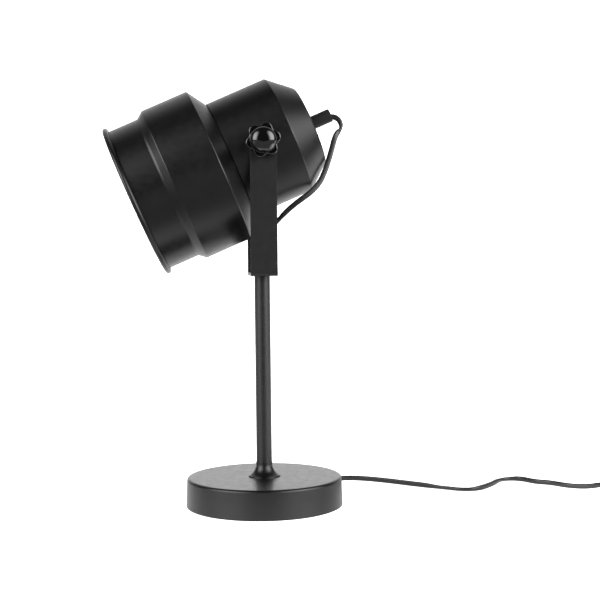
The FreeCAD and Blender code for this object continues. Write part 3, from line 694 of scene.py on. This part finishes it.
def glow(name, tone, strength):
    """A matt surface that glows in white."""
    shader = Shader(name)
    shader.set(
        Base_Color=(*grey(tone), 1.0),
        Roughness=0.9,
        Specular_IOR_Level=0.1,
        Emission_Color=(1.0, 1.0, 1.0, 1.0),
        Emission_Strength=strength,
    )
    return shader


def pooled_glow():
    """The table as the lamp's paint sees it: a glow with painted pools of light on it."""
    shader = glow("table_glow", TABLE_TONE, TABLE_GLOW)
    pools = []
    # Each pool is painted light: the table's glow rises towards the pool's centre
    for x, y, full, gone, strength in POOLS.values():
        away = measured(shader.tree, "DISTANCE", shader.place, (x, y, 0.0))
        pools.append(faded(shader.tree, away, full, gone, strength))
    total = summed(shader.tree, TABLE_GLOW, pools)
    shader.link(total, shader.surface.inputs["Emission Strength"])
    return shader


def light_world():
    """A dim room with large soft lights on both sides of the camera and behind the lamp."""
    world = bpy.data.worlds.new("studio")
    world.use_nodes = True
    tree = world.node_tree
    place = tree.nodes.new("ShaderNodeTexCoord").outputs["Generated"]
    lights = []
    for azimuth, elevation, full, gone, strength in SOFT_LIGHTS.values():
        across = math.radians(azimuth)
        up = math.radians(elevation)
        level = math.cos(up)
        toward = (math.sin(across) * level, -math.cos(across) * level, math.sin(up))
        nearness = measured(tree, "DOT_PRODUCT", place, toward)
        inner = math.cos(math.radians(full))
        outer = math.cos(math.radians(gone))
        lights.append(faded(tree, nearness, inner, outer, strength))
    background = tree.nodes["Background"]
    background.inputs["Color"].default_value = (1.0, 1.0, 1.0, 1.0)
    tree.links.new(summed(tree, ROOM_GLOW, lights), background.inputs["Strength"])
    bpy.context.scene.world = world


def stage_piece(name, corners, faces, shader, rays):
    """A piece of the stage, seen only by the rays that are named."""
    thing = mesh_object(name, corners, faces)
    thing.data.materials.append(shader.material)
    for ray in ("camera", "diffuse", "glossy", "transmission", "volume_scatter", "shadow"):
        setattr(thing, "visible_" + ray, ray in rays)
    return thing


def floor_sheet(name, shader, rays):
    far = FLOOR_SIZE / 2.0
    corners = [(-far, -far, 0.0), (far, -far, 0.0), (far, far, 0.0), (-far, far, 0.0)]
    return stage_piece(name, corners, [(0, 1, 2, 3)], shader, rays)


def round_wall():
    corners = []
    faces = []
    for side in range(WALL_SIDES):
        angle = 2.0 * math.pi * side / WALL_SIDES
        for height in (0.0, WALL_H):
            corners.append((WALL_R * math.cos(angle), WALL_R * math.sin(angle), height))
        beside = (side + 1) % WALL_SIDES
        faces.append((2 * side, 2 * side + 1, 2 * beside + 1, 2 * beside))
    return stage_piece("wall", corners, faces, glow("white_wall", PALE_TONE, WALL_GLOW), ["camera"])


place_camera()

# The flex, the knobs, the gland and the tie
lead_line = smooth_line(ROUTE_TO_SWITCH)
lead_a, lead_a_line = lying_flex("mains_lead_a", lead_line, ROLLS_TO_SWITCH)
coil_line = smooth_line(ROUTE_TO_COIL + coil_points() + ROUTE_TO_PLUG)
lead_b, lead_b_line = lying_flex("mains_lead_b", coil_line, ROLLS_OF_COIL)
head_line = smooth_line(ROUTE_OF_HEAD)
head_lead = hanging_flex("head_lead", head_line, ROLLS_OF_HEAD)

for lead, stands_for in (
    (lead_a, ["mains_cord_a"]),
    (lead_b, ["mains_cord_b", "cord_coil", "plug_lead"]),
    (head_lead, ["head_flex"]),
):
    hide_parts(*stands_for)
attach(lead_a, "stand")
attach(lead_b, "stand")
knobs = []
for body, side in (("knob_near", -1.0), ("knob_far", 1.0)):
    knob = knob_head(body + "_head", side)
    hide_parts(body + "_grip")
    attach(knob, body)
    knobs.append(knob)
gland = gland_sleeve()
tie = tie_band()
for piece, node in ((gland, "base_gland"), (tie, "coil_tie")):
    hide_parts(node)
    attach(piece, "stand")
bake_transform(head_lead)

# A finish for each slot: its darkest and lightest tone, and its least and greatest roughness
paints = {
    "black_coat": coated("satin_black_coat", grey(0.0015), grey(0.003), 0.31, 0.37),
    "stem_coat": coated("stem_black_coat", grey(0.006), grey(0.009), 0.36, 0.44),
    "knob_black": moulded(
        "gloss_black_knob", grey(0.003), grey(0.005), 0.05, 0.08, grain=0.000001, level=0.8
    ),
    "fitting_black": moulded("matt_black_nylon", grey(0.012), grey(0.018), 0.42, 0.52),
    "holder_black": moulded("matt_black_holder", grey(0.012), grey(0.016), 0.38, 0.48),
    "flex_pvc": moulded("dark_flex_pvc", grey(0.015), grey(0.021), 0.30, 0.38, level=0.5),
    "pad_foam": moulded("pad_foam", grey(0.02), grey(0.035), 0.8, 0.9, grain=0.00005),
    "weight_cast": moulded(
        "cast_ballast", (0.16, 0.155, 0.15), (0.24, 0.235, 0.225), 0.8, 0.9, grain=0.0001
    ),
    "zinc_steel": metal("zinc_plated_steel", (0.52, 0.53, 0.54), (0.62, 0.62, 0.61), 0.28, 0.4),
    "brass": metal("brass", (0.72, 0.52, 0.22), (0.80, 0.60, 0.28), 0.24, 0.36),
    "ceramic": moulded(
        "white_ceramic",
        (0.74, 0.73, 0.70),
        (0.80, 0.79, 0.76),
        0.25,
        0.35,
        grain=0.000004,
        level=0.5,
    ),
    "bulb_glass": moulded(
        "opal_glass",
        (0.84, 0.84, 0.82),
        (0.88, 0.88, 0.86),
        0.08,
        0.12,
        grain=0.000001,
        level=0.5,
    ),
    "cap_metal": metal("lamp_cap_metal", (0.70, 0.71, 0.72), grey(0.80), 0.22, 0.34),
}
# The CAD nodes come with plain materials that have the slots' names
for node in nodes.values():
    for held in node.material_slots:
        held.material = paints[held.material.name]
for pieces, paint in (
    ((lead_a, lead_b, head_lead), "flex_pvc"),
    (knobs, "knob_black"),
    ((gland, tie), "fitting_black"),
):
    for piece in pieces:
        piece.data.materials.append(paints[paint])
soften_edges(nodes["yoke"])

# The camera sees a pale floor and wall; the lamp's paint sees the table's painted pools of light
# and the world
floor = floor_sheet("floor", glow("pale_floor", PALE_TONE, FLOOR_GLOW), ["camera", "shadow"])
# The table glows with painted pools of light and is seen only in reflections and bounced light
table = floor_sheet("table", pooled_glow(), ["diffuse", "glossy", "transmission"])
wall = round_wall()
light_world()
bpy.context.scene.view_settings.view_transform = "Standard"
